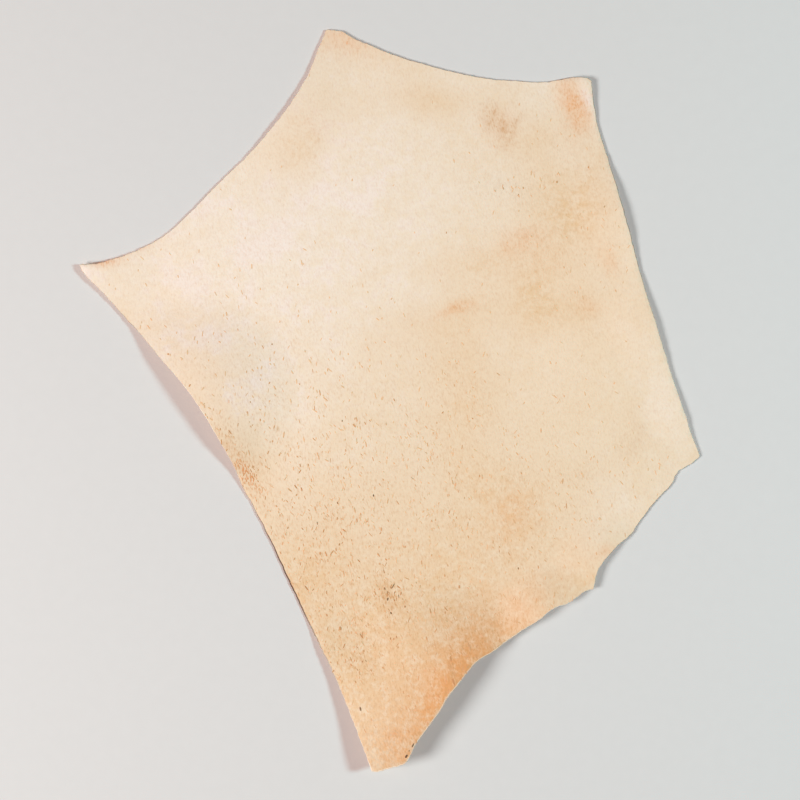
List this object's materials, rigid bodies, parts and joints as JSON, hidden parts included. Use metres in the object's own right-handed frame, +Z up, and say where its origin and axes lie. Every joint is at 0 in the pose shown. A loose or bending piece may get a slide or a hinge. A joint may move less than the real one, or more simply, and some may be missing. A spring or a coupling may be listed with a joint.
{
  "type": "leather hide",
  "caption": "Natural tanned leather hide, a hand-cut irregular piece lying grain side up, with concave cut edges, a curled tip and a lifted left edge.",
  "frame": {"origin": "on the surface the hide lies on, under the middle of its bounding box", "axes": "+Z up out of the grain side, +Y along the hide's length from the curled tip to the neck, +X to the right as seen from above"},
  "size_m": [0.672, 0.8016, 0.0285],
  "materials": {
    "leather": "undyed natural vegetable-tanned grain, matt, pale cream to peach with rust stains and short dark flecks"
  },
  "bodies": {
    "root": {"hide": "leather"}
  },
  "joints": []
}
